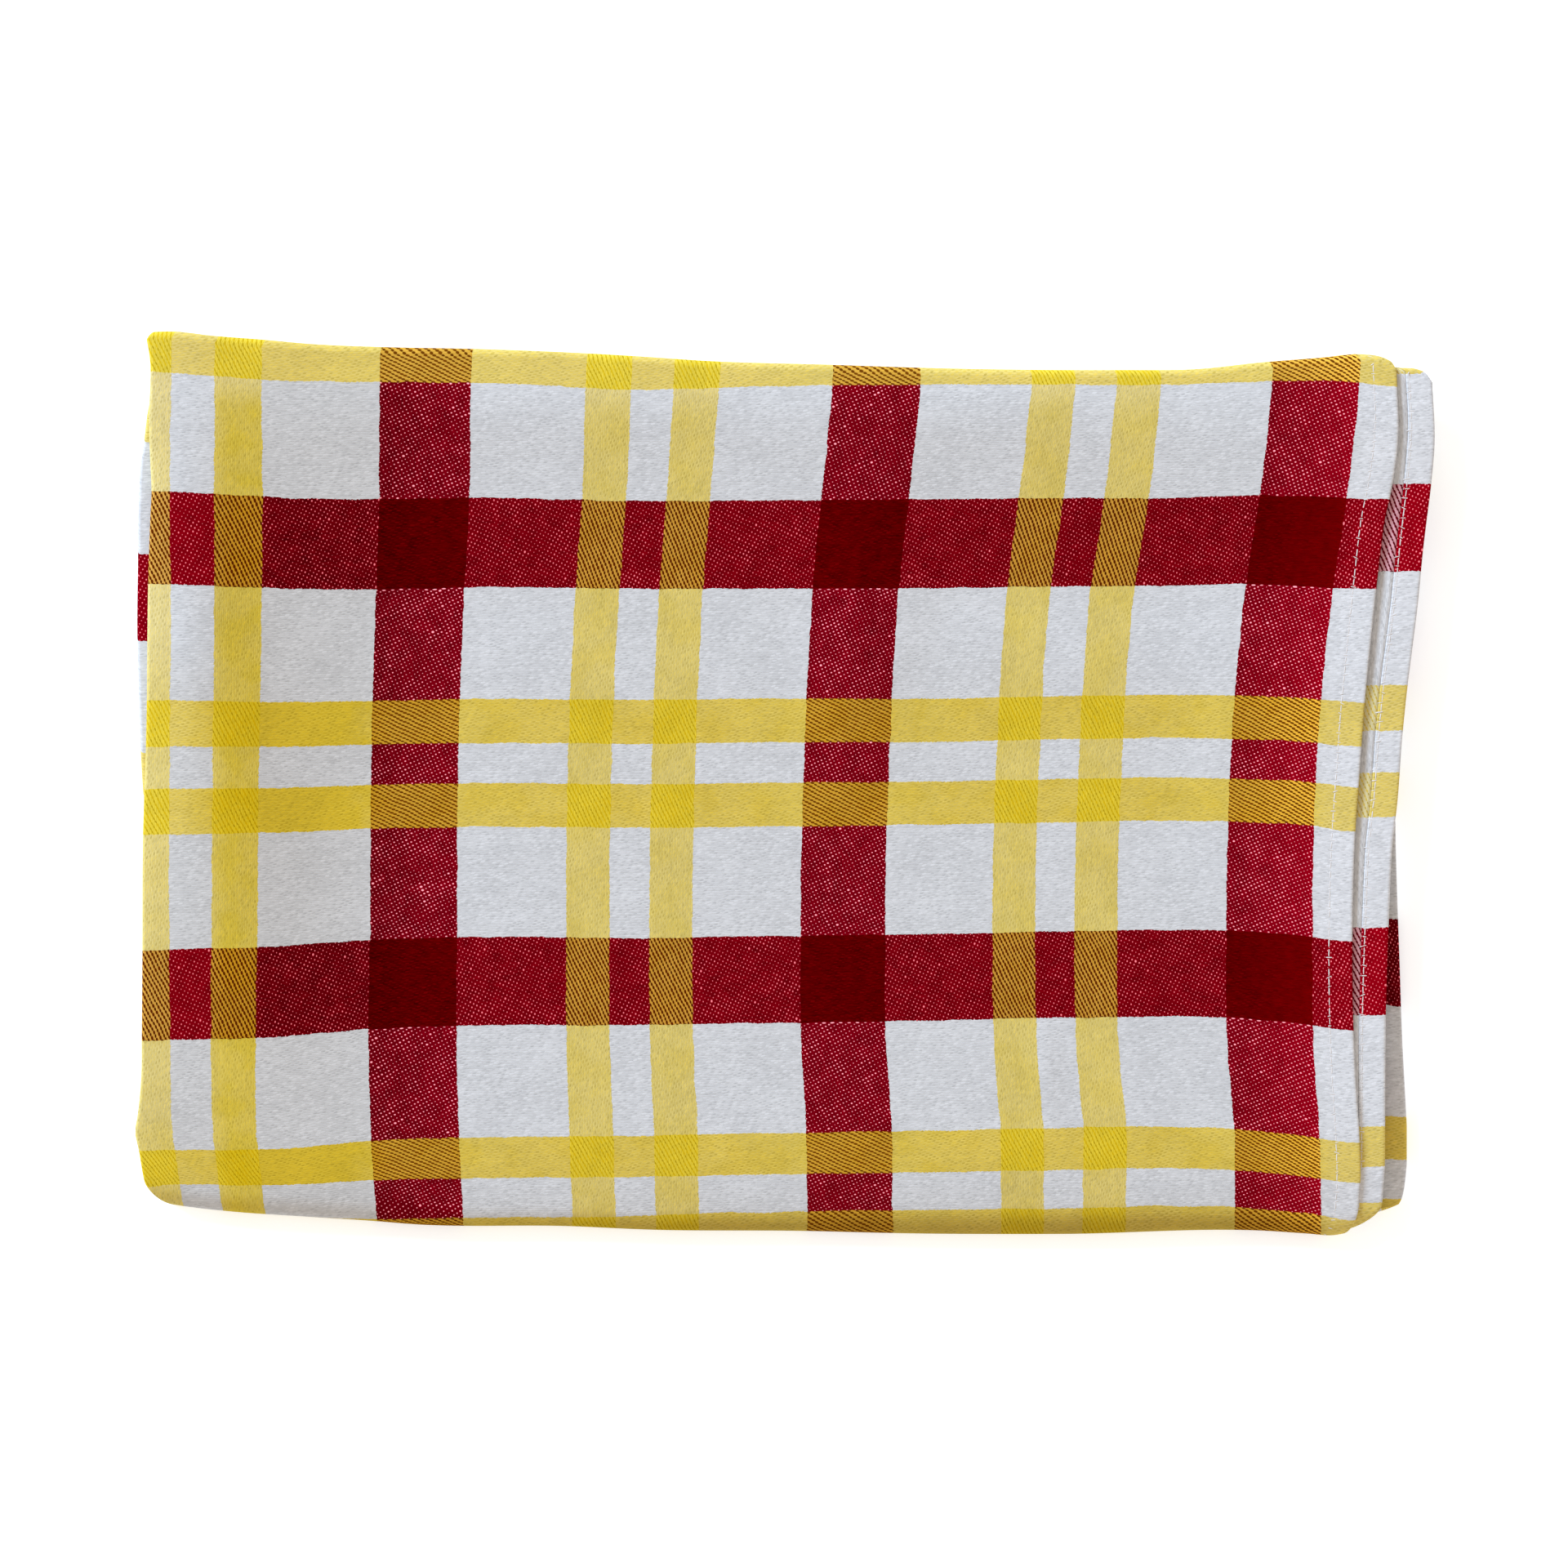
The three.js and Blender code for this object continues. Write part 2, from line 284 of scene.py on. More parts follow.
# The points of the section: their distances from a hem's edge, on the leg and inside the hem, and about how many
# more lie on each half past the hem and round the crosswise fold
section = {
    "onLeg": [1.4, 2.6, 4.2, 6.0, 7.8, 8.8, 9.1, 9.4, 9.7, 10.4, 10.95, 12.4, 14.5],
    "inHem": [9.9, 9.4, 8.9, 7.8, 6.0, 4.2, 2.6, 1.4],
    "upperCount": 98,
    "underCount": 36,
    "bendCount": 13,
}


def pairProfile():
    # The mid-line of the section, from the turned-in end of the upper hem round the crosswise fold to the
    # turned-in end of the under hem. Each point is x = weights . (upper hem, fold, under hem) + offset and
    # a height n over the middle of the pair; its normal points to the right side of the cloth.
    thick = cloth["thickness"]
    leg = cloth["pairHalf"] - thick / 2
    turned = leg - thick - cloth["hemAir"]
    tipRadius = (leg - turned) / 2
    tipX = -(tipRadius + thick / 2)
    tips = np.radians(np.linspace(-78, 78, 9))
    onLeg = np.array(section["onLeg"])
    inHem = np.array([cloth["hemWidth"], cloth["hemWidth"] - 0.25] + section["inHem"])

    def dimple(offset):
        # depth * exp(-(distance from the stitches / reach)^2)
        away = (offset - cloth["stitchInset"]) / cloth["dimpleReach"]
        return cloth["stitchDimple"] * np.exp(-away ** 2)

    def halfPoints(count):
        # points as columns: weight of the hem, weight of the fold, offset, n, normal across, normal up
        rows = [[1, 0, -o, turned + dimple(o), 0, -1] for o in inHem]
        rows += [[1, 0, tipX + tipRadius * math.cos(a), (leg + turned) / 2 + tipRadius * math.sin(a),
                  math.cos(a), math.sin(a)] for a in tips]
        rows += [[1, 0, -o, leg - 1.5 * dimple(o), 0, 1] for o in onLeg]
        for f in np.linspace(0, 1, count)[1:]:
            rows.append([1 - f, f, -onLeg[-1] * (1 - f) + cloth["pairHalf"] * f, leg, 0, 1])
        return np.array(rows)

    upper, under = halfPoints(section["upperCount"]), halfPoints(section["underCount"])
    bends = np.radians(np.linspace(90, 270, section["bendCount"])[1:-1])
    bend = np.array([
        [0, 1, cloth["pairHalf"] + leg * math.cos(a), leg * math.sin(a), math.cos(a), math.sin(a)]
        for a in bends])
    under[:, [3, 5]] *= -1
    under = under[::-1]
    zero = np.zeros
    weights = np.concatenate([
        np.column_stack([upper[:, 0], upper[:, 1], zero(len(upper))]),
        np.column_stack([zero(len(bend)), bend[:, 1], zero(len(bend))]),
        np.column_stack([zero(len(under)), under[:, 1], under[:, 0]])])
    points = np.concatenate([upper, bend, under])
    tip, legEnd, last = len(inHem) + len(tips) // 2, len(inHem) + len(tips), len(points) - 1
    inset = cloth["stitchInset"]
    places = {"tip": tip, "legEnd": legEnd, "bend": len(upper) - 1, "count": len(points),
              "underLegEnd": last - legEnd, "underTip": last - tip,
              "stitchesOnLeg": legEnd + int(np.argmin(np.abs(onLeg - inset))),
              "stitchesInUnderHem": last - int(np.argmin(np.abs(inHem - inset)))}
    return weights, points[:, 2], points[:, 3], points[:, 4:6], places


def placePoints(stations, x, n):
    # y goes from the far line to the near line by the station's share, plus its reach, and n is laid off
    # along the station's normal; the height is then scaled by heightShare
    column = {name: values[:, None] for name, values in stations.items()}
    far, near = farLine(x), nearLine(x)
    y = far + (near - far) * column["share"] + column["reach"] + n * column["outY"]
    z = column["height"] + n * column["outZ"]
    return np.stack([x, y, z * heightShare(x, y)], axis=-1)


def joinStations():
    parts = []
    for index in range(len(runs)):
        parts.append(runStations(index))
        if index < len(folds):
            parts.append(foldStations(index))
    return {name: np.concatenate([part[name] for part in parts]) for name in parts[0]}


stations = joinStations()
weights, offsets, heights, normals, marks = pairProfile()
edges = np.stack([stations["upper"], stations["fold"], stations["under"]], axis=1)
sectionX = edges @ weights.T + offsets
thick = cloth["thickness"]

# The free ends' hems: the inner side moves in where the cloth is not also turned in at its side. In every
# station it swells beside the under hem too.
pastSide = 10               # points from the leg's end to where the side hem is over
index = np.arange(marks["count"])
single = (index > marks["legEnd"] + pastSide) & (index < marks["underLegEnd"] - pastSide)
body = stations["body"][:, None]
hemExtra = stations["hem"][:, None] * single * cloth["edgeHem"]
besideHem = marks["underLegEnd"] - pastSide - np.arange(3)
hemExtra[:, besideHem] = np.maximum(hemExtra[:, besideHem], cloth["hemSwell"])
outer = placePoints(
    stations, sectionX + normals[:, 0] * thick / 2 * body, heights + normals[:, 1] * thick / 2 * body)
inner = placePoints(
    stations, sectionX - normals[:, 0] * (thick / 2 * body + hemExtra),
    heights - normals[:, 1] * (thick / 2 * body + hemExtra))
middle = (outer + inner) / 2
print("cloth:", middle.shape[0], "stations of", middle.shape[1], "points")

# The check. A count of threads runs across (u) and along (v) the cloth, 0 in the middle of a red stripe. The
# tables say where the stripes lie on the top layer, whose check leans and spreads a little.
stripes = {
    # threads from the second red column to the edge of a yellow one, then to the middles of the others
    "columnThreads": [-402, -365, -260, -155, -105, 0, 105, 155, 260],
    "columns": [
        (-164.5, [-240.4, -216.4, -145.8, -76.1, -42.7, 26.2, 95.1, 127.9, 197.1]),
        (-136.8, [-244.0, -219.2, -147.2, -76.9, -43.2, 25.9, 94.8, 128.0, 196.4]),
        (-110.7, [-244.6, -219.5, -148.0, -77.9, -44.5, 24.1, 92.7, 125.4, 194.3]),
        (-52.1, [-245.0, -218.7, -147.7, -78.3, -45.1, 23.5, 91.7, 124.4, 193.6]),
        (8.1, [-244.6, -218.1, -147.4, -77.5, -44.0, 24.9, 93.2, 126.2, 195.1]),
        (71.7, [-244.0, -217.3, -145.4, -74.8, -41.4, 28.2, 97.1, 130.5, 200.7]),
        (122.1, [-244.6, -217.3, -143.2, -71.3, -37.5, 33.2, 103.6, 137.8, 208.0]),
        (149.8, [-244.3, -217.6, -143.2, -70.4, -35.5, 36.2, 106.5, 140.7, 211.1]),
        (172.6, [-244.3, -217.6, -142.7, -69.4, -34.2, 38.1, 108.5, 142.7, 213.0]),
    ],
    # threads from the first red row down to the others
    "rowThreads": [-92, 0, 105, 155, 260, 365, 402],
    "rows": [
        (-242.7, [163.8, 97.7, 24.1, -11.1, -83.7, -153.1, -171.7]),
        (-198.7, [160.9, 95.9, 23.8, -10.3, -82.2, -152.9, -172.6]),
        (-169.4, [160.3, 95.4, 24.3, -9.3, -80.1, -150.7, -172.3]),
        (-117.3, [159.9, 96.3, 25.2, -8.3, -78.5, -149.2, -171.7]),
        (-61.9, [157.3, 95.4, 24.8, -8.8, -78.7, -148.7, -171.7]),
        (-4.9, [158.6, 95.4, 25.4, -8.3, -77.9, -147.6, -170.7]),
        (61.9, [159.3, 95.8, 25.4, -7.5, -77.0, -146.6, -170.0]),
        (107.5, [159.3, 96.3, 26.4, -6.7, -75.9, -145.8, -169.4]),
        (156.4, [159.3, 96.6, 27.0, -6.0, -75.4, -145.0, -168.4]),
        (184.0, [160.3, 97.4, 26.5, -6.7, -75.9, -146.3, -169.1]),
        (208.5, [160.9, 96.7, 25.4, -7.7, -78.2, -148.7, -171.3]),
        (223.1, [160.6, 95.8, 24.1, -9.8, -80.3, -150.8, -173.1]),
        (237.8, [159.0, 95.6, 23.1, -10.7, -81.1, -151.8, -173.9]),
    ],
    "underRows": [163.5, 102.4, 30.5, -4.2, -74.3, -144.5, -166.8],   # at the under half's hem
    "underHemThreads": -1108,       # so that the under half's hem is white, as the upper half's is
    # threads by which the hidden runs' check is shifted: across, which fades out away from the crosswise
    # fold, and along in the second run and in the third
    "acrossShift": -18.0,
    "acrossShiftReach": 60.0,
    "alongShifts": (8.0, 7.7),
    "shiftRamp": (4.0, 44.0),       # the way from the top run over which these shifts grow, in millimetres
    "thirdHemShift": -21.1,         # and along at the third run's hem, growing between these two places
    "thirdHemRamp": (200.0, 236.0),
}
threadPitch = cloth["repeat"] / cloth["repeatThreads"]


def threadsAcross(x, y):
    # at each height of the table the threads are a curve of x; the curve of those over y gives the count
    levels = [level for level, _ in stripes["columns"]]
    found = np.stack([curveThrough(places, stripes["columnThreads"], x) for _, places in stripes["columns"]])
    return curveThrough(levels, found, y)


def threadsAlong(x, y, table, threads):
    levels = [level for level, _ in table]
    found = np.stack([curveThrough(places[::-1], threads[::-1], y) for _, places in table])
    return curveThrough(levels, found, x)


def arcLengths(points, axis):
    # the length of the way up to each point, along one axis of a row or grid of points
    steps = np.linalg.norm(np.diff(points, axis=axis), axis=-1)
    return np.insert(np.cumsum(steps, axis=axis), 0, 0, axis=axis)


def checkThreads(points):
    # u and v for every point: from the tables on the top run, and carried on by the length of the cloth
    u, v = np.zeros(points.shape[:2]), np.zeros(points.shape[:2])
    across, along = arcLengths(points, 1), arcLengths(points, 0) / threadPitch
    top = np.flatnonzero(stations["run"] == 2)
    first, last = top[0], top[-1]
    rows = slice(first, last + 1)
    x, y = points[rows, :, 0], points[rows, :, 1]
    leg = slice(marks["tip"], marks["bend"] + 1)
    u[rows, leg] = threadsAcross(x[:, leg], y[:, leg])
    arc = across[rows]
    tip, bend, underTip = marks["tip"], marks["bend"], marks["underTip"]
    u[rows, :tip] = u[rows, tip, None] + (arc[:, tip, None] - arc[:, :tip]) / threadPitch
    share = (arc[:, bend:] - arc[:, bend, None]) / (arc[:, underTip] - arc[:, bend])[:, None]
    u[rows, bend:] = u[rows, bend, None] + (stripes["underHemThreads"] - u[rows, bend, None]) * share

    v[rows] = threadsAlong(x, y, stripes["rows"], stripes["rowThreads"])
    underTable = [(-250.0, stripes["rows"][0][1]), (250.0, stripes["underRows"])]
    under = threadsAlong(x, y, underTable, stripes["rowThreads"])
    isUnder = smoothStep(0, 0.25, share)
    v[rows, bend:] += (under - v[rows])[:, bend:] * isUnder

    # over each quarter turn at the top run's sides the count keeps to what shows from above, so its pace
    # differs a little from that of the length
    before, after = slice(0, first), slice(last + 1, None)
    away, past = along[first] - along[before], along[after] - along[last]
    rims = np.flatnonzero(stations["run"] >= 1.5)[0], np.flatnonzero(stations["run"] <= 2.5)[-1]
    paces = []
    for edge, rim in ((first, rims[0]), (last, rims[1])):
        seen = [threadsAlong(points[at, :, 0], points[at, :, 1], stripes["rows"], stripes["rowThreads"])
                for at in (edge, rim)]
        paces.append(np.abs(seen[1] - seen[0]) / np.abs(along[rim] - along[edge]) - 1)
    v[before] = v[first] - away - paces[0] * np.minimum(away, along[first] - along[rims[0]])
    v[after] = v[last] + past + paces[1] * np.minimum(past, along[rims[1]] - along[last])
    turning = slice(last + 1, rims[1] + 1)
    u[turning, leg] = threadsAcross(points[turning, leg, 0], points[turning, leg, 1])
    # the under half and the hem's inner side keep the place that they have beside the bend and the tip
    u[turning, bend:] = u[last, bend:] + (u[turning, bend] - u[last, bend])[:, None] * (1 - share[-1])
    u[turning, :tip] = u[turning, tip, None] + (u[last, :tip] - u[last, tip])
    u[before], u[rims[1] + 1:] = u[first], u[rims[1]]
    third = np.clip(1 - stations["run"][before], 0, 1)[:, None]
    ramp = smoothStep(*(reach / threadPitch for reach in stripes["shiftRamp"]), away)
    fromFold = np.abs(points[before, :, 0] - points[before, marks["bend"], 0][:, None])
    u[before] += ramp * stripes["acrossShift"] * np.exp(-(fromFold / stripes["acrossShiftReach"]) ** 2)
    second, other = stripes["alongShifts"]
    v[before] += ramp * (second + (other - second) * third)
    # the third run's rows are level at its hem
    hem = marks["underLegEnd"] - 8          # the point of the leg just past its stitches
    v[before, hem:] += third * (v[before, hem, None] - v[before, hem:])
    v[before] += third * smoothStep(*stripes["thirdHemRamp"], points[before, :, 0]) * stripes["thirdHemShift"]
    return u, v


threadU, threadV = checkThreads(middle)
print("check: threads across", threadU.min().round(), threadU.max().round(),
      "along", threadV.min().round(), threadV.max().round())


def newMesh(name, points, quads):
    # A smooth-shaded mesh of points, in millimetres from the middle of the picture, and quads
    shift = np.array([packetCentre[0], packetCentre[1], 0.0])
    mesh = bpy.data.meshes.new(name)
    mesh.from_pydata(((points - shift) * mm).tolist(), [], quads.tolist())
    mesh.polygons.foreach_set("use_smooth", np.ones(len(mesh.polygons), bool))
    mesh.update()
    piece = bpy.data.objects.new(name, mesh)
    bpy.context.scene.collection.objects.link(piece)
    return piece


def ringQuads(ringCount, sideCount):
    # quads between neighbouring rings of a grid of points
    ring, side = np.meshgrid(np.arange(ringCount - 1), np.arange(sideCount), indexing="ij")
    a = (ring * sideCount + side).ravel()
    b = (ring * sideCount + (side + 1) % sideCount).ravel()
    return np.column_stack([a, b, b + sideCount, a + sideCount])


def capQuads(sideCount):
    # quads that close a ring, between its first half and its second
    j = np.arange(sideCount // 2 - 1)
    return np.column_stack([j, j + 1, sideCount - 2 - j, sideCount - 1 - j])


def buildCloth():
    # Each station is a ring: the outer side, a rounded end, the inner side back again and the other end
    count = marks["count"]
    ends = []
    for end, beside in ((count - 1, count - 2), (0, 1)):
        outward = middle[:, end] - middle[:, beside]
        outward /= np.linalg.norm(outward, axis=1, keepdims=True)
        ends.append(middle[:, end] + outward * thick * cloth["edgeRound"])
    rings = np.concatenate([outer, ends[0][:, None], inner[:, ::-1], ends[1][:, None]], axis=1)
    ring = rings.shape[1]
    cap, lastRing = capQuads(ring), (len(rings) - 1) * ring
    quads = np.concatenate([ringQuads(len(rings), ring), cap[:, ::-1], cap + lastRing])
    piece = newMesh("tablecloth_folded", rings.reshape(-1, 3), quads)

    def around(values):
        return np.concatenate([values, values[:, -1:], values[:, ::-1], values[:, :1]], axis=1).ravel()

    uv = np.column_stack([around(threadU), around(threadV)])
    mesh = piece.data
    loopVertices = np.empty(len(mesh.loops), np.int32)
    mesh.loops.foreach_get("vertex_index", loopVertices)
    layer = mesh.uv_layers.new(name="threads")
    layer.uv.foreach_set("vector", uv[loopVertices].astype(np.float32).ravel())
    wrong = np.zeros((len(rings), ring), np.float32)
    wrong[:, count + 1:ring - 1] = 1
    side = mesh.attributes.new("wrongSide", "FLOAT", "POINT")
    side.data.foreach_set("value", wrong.ravel())
    return piece


folded = buildCloth()
print("cloth mesh:", len(folded.data.polygons), "quads")

# The hems' machine stitches, and the short threads of the needle holes that have pulled the weave open
sewing = {
    "length": 3.9,                  # of a stitch
    "endGap": 0.6,                  # from a line's end to its first stitch
    "holeShift": 0.12,
    "threadRadius": 0.32,
    "radiusShares": (0.88, 1.1),
    "sunk": 0.25,                   # of a stitch in the cloth
    "arch": 0.06,
    "tilt": 0.06,
    "crossShare": 0.85,             # of the holes that have such a thread
    "crossLength": 3.1,
    "crossLengthShares": (0.6, 1.35),
    "crossRadius": 0.27,
    "crossRadiusShares": (0.8, 1.15),
    "crossSunk": 0.20,
    "crossTurn": 0.45,              # how far it is turned, and how far it is shifted across the line
    "crossShift": 0.35,
    "freeEndRow": -6,               # the station under the last run's line of stitches
    "stitchMesh": (7, 6),           # rings along each thread and points round it
    "crossMesh": (5, 6),
    "plyScale": 900.0,
    "mottleScale": 400.0,
    "colours": ((213, 209, 211), (232, 229, 229)),
}


def atLengths(lengths, values, at):
    # vectors given along a line, read off at other lengths of it
    return np.column_stack([np.interp(at, lengths, values[:, axis]) for axis in range(3)])


def unit(vectors):
    return vectors / np.maximum(np.linalg.norm(vectors, axis=-1, keepdims=True), 1e-9)


def capsules(centre, forward, up, length, radius, ringCount, sideCount):
    # Each is a tube of radius r * (1 - q^4)^0.5 for q from almost -1 to almost 1, which is nearly nothing at
    # both ends, and its mid-line rises as arch * (1 - q^2)
    q = np.linspace(-0.985, 0.985, ringCount)
    angle = np.arange(sideCount) * 2 * math.pi / sideCount
    sideways = unit(np.cross(forward, up))
    swell = np.sqrt(1 - q ** 4)
    spine = (centre[:, None] + forward[:, None] * (q[:, None] * length[:, None, None] / 2)
             + up[:, None] * ((1 - q ** 2)[:, None] * sewing["arch"]))
    circle = (sideways[:, None, None] * np.cos(angle)[None, None, :, None]
              + up[:, None, None] * np.sin(angle)[None, None, :, None])
    return spine[:, :, None] + circle * (swell[None, :, None, None] * radius[:, None, None, None])


def capsuleQuads(pieceCount, ringCount, sideCount):
    cap, lastRing = capQuads(sideCount), (ringCount - 1) * sideCount
    one = np.concatenate([ringQuads(ringCount, sideCount)[:, ::-1], cap, cap[:, ::-1] + lastRing])
    start = np.arange(pieceCount)[:, None, None] * ringCount * sideCount
    return (one[None] + start).reshape(-1, 4)


def surfaceNormals(points):
    along, across = np.gradient(points, axis=0), np.gradient(points, axis=1)
    return unit(np.cross(along, across))


def buildStitches():
    rng = np.random.default_rng(4)
    normal = surfaceNormals(outer)
    facing = np.sign(np.sum(normal * (outer - inner), axis=2, keepdims=True))
    normal = normal * facing
    lines = [(outer[:, marks["stitchesOnLeg"]], normal[:, marks["stitchesOnLeg"]]),
             (outer[:, marks["stitchesInUnderHem"]], normal[:, marks["stitchesInUnderHem"]]),
             (outer[sewing["freeEndRow"]], normal[sewing["freeEndRow"]])]

    def spread(name, count):
        # numbers between minus and plus the named value, one for each of count stitches
        return rng.uniform(-sewing[name], sewing[name], count)[:, None]

    points, quads, base = [], [], 0
    for line, lineNormal in lines:
        lengths = arcLengths(line, 0)
        holes = np.arange(sewing["endGap"], lengths[-1] - sewing["endGap"], sewing["length"])
        holes = holes + spread("holeShift", len(holes))[:, 0]
        holeAt, up = atLengths(lengths, line, holes), unit(atLengths(lengths, lineNormal, holes))
        step = holeAt[1:] - holeAt[:-1]
        forward, lift = unit(step), unit(up[1:] + up[:-1])
        sideways = unit(np.cross(forward, lift))
        count, length = len(step), np.linalg.norm(step, axis=1)
        stitchForward = unit(forward + sideways * spread("tilt", count))
        centre = (holeAt[1:] + holeAt[:-1]) / 2 - lift * sewing["sunk"]
        radius = sewing["threadRadius"] * rng.uniform(*sewing["radiusShares"], count)
        stitch = capsules(centre, stitchForward, lift, length, radius, *sewing["stitchMesh"])
        keep = rng.random(count) < sewing["crossShare"]
        crossForward = unit(sideways + forward * spread("crossTurn", count))
        crossLength = sewing["crossLength"] * rng.uniform(*sewing["crossLengthShares"], count)
        crossCentre = holeAt[1:] - lift * sewing["crossSunk"] + sideways * spread("crossShift", count)
        crossRadius = sewing["crossRadius"] * rng.uniform(*sewing["crossRadiusShares"], count)
        cross = capsules(crossCentre, crossForward, lift, crossLength, crossRadius, *sewing["crossMesh"])[keep]
        for tubes in (stitch, cross):
            points.append(tubes.reshape(-1, 3))
            quads.append(capsuleQuads(*tubes.shape[:3]) + base)
            base += len(points[-1])
    points = np.concatenate(points)
    points[:, 2] = np.maximum(points[:, 2], 0.01)        # pressed flat where the cloth lies on them
    return newMesh("hem_stitches", points, np.concatenate(quads))


stitches = buildStitches()
print("stitches mesh:", len(stitches.data.polygons), "quads")


class Term:
    # A socket of a material's nodes that takes part in Python sums: each operator adds a Math node
    def __init__(self, maker, socket):
        self.maker, self.socket = maker, socket

    def math(self, operation, *others, clamp=False):
        sockets = dict(enumerate((self,) + others))
        return self.maker.node("ShaderNodeMath", {"operation": operation, "use_clamp": clamp}, sockets)

    def __add__(self, other):
        return self.math("ADD", other)

    def __sub__(self, other):
        return self.math("SUBTRACT", other)

    def __rsub__(self, other):
        return self.maker.node("ShaderNodeMath", {"operation": "SUBTRACT"}, {0: other, 1: self})

    def __mul__(self, other):
        return self.math("MULTIPLY", other)

    def __truediv__(self, other):
        return self.math("DIVIDE", other)

    def __pow__(self, other):
        return self.math("POWER", other)

    def __gt__(self, other):
        return self.math("GREATER_THAN", other)

    def __lt__(self, other):
        return self.math("LESS_THAN", other)

    def __abs__(self):
        return self.math("ABSOLUTE")

    __radd__ = __add__
    __rmul__ = __mul__

    def floor(self):
        return self.math("FLOOR")

    def wrapped(self, period):
        return self.math("FLOORED_MODULO", period)

    def root(self):
        return self.math("SQRT")

    def clamped(self):
        return self.math("ADD", 0.0, clamp=True)

    def rising(self, low, high):
        # 0 below low, 1 above high, with a smooth step between
        sockets = {"Value": self, "From Min": low, "From Max": high}
        return self.maker.node("ShaderNodeMapRange", {"interpolation_type": "SMOOTHSTEP"}, sockets)


class Maker:
    # A new material, whose nodes all come from one method
    def __init__(self, name):
        self.material = bpy.data.materials.new(name)
        self.material.use_nodes = True
        self.tree = self.material.node_tree
        self.tree.nodes.clear()

    def node(self, kind, settings=None, sockets=None, output=0):
        made = self.tree.nodes.new(kind)
        for name, value in (settings or {}).items():
            if name == "stops":
                self.setStops(made.color_ramp, value)
            else:
                setattr(made, name, value)
        for key, value in (sockets or {}).items():
            if isinstance(value, Term):
                self.tree.links.new(value.socket, made.inputs[key])
            else:
                made.inputs[key].default_value = value
        return Term(self, made.outputs[output]) if made.outputs else None

    def setStops(self, ramp, colours):
        # one flat step for each colour, at the whole numbers over their count
        ramp.interpolation = "CONSTANT"
        for place, colour in enumerate(colours):
            stop = ramp.elements[place] if place < 2 else ramp.elements.new(place / len(colours))
            stop.position = place / len(colours)
            stop.color = colour

    def pick(self, number, colours):
        # the colour whose place in the list is the given whole number
        return self.node("ShaderNodeValToRGB", {"stops": colours}, {0: (number + 0.5) / len(colours)})

    def parts(self, vector):
        # the three numbers of a colour or vector
        node = self.node("ShaderNodeSeparateXYZ", {}, {0: vector}).socket.node
        return [Term(self, output) for output in node.outputs]

    def blend(self, share, first, second):
        # the first colour where share is 0 and the second where it is 1
        return self.node("ShaderNodeMix", {"data_type": "RGBA"}, {0: share, 6: first, 7: second}, 2)

    def vector(self, operation, first, second):
        # two colours or vectors added, subtracted or multiplied
        return self.node("ShaderNodeVectorMath", {"operation": operation}, {0: first, 1: second})

    def tinted(self, colour, amount):
        # a colour times a number
        return self.node("ShaderNodeVectorMath", {"operation": "SCALE"}, {0: colour, "Scale": amount})

    def noise(self, vector, scale, detail=2.0, dimensions="3D", output=0):
        sockets = {"Vector": vector, "Scale": scale, "Detail": detail}
        return self.node("ShaderNodeTexNoise", {"noise_dimensions": dimensions}, sockets, output)

    def finish(self, colour, roughness, normal, settings):
        shader = self.node("ShaderNodeBsdfPrincipled", {}, {
            "Base Color": colour, "Roughness": roughness, "Normal": normal, **settings})
        self.node("ShaderNodeOutputMaterial", {}, {"Surface": shader})
        return self.material


def linear(red, green, blue):
    # a colour given as 0 to 255, as a screen shows it, made linear
    values = [v / 255 for v in (red, green, blue)]
    return tuple(v / 12.92 if v <= 0.04045 else ((v + 0.055) / 1.055) ** 2.4 for v in values) + (1.0,)


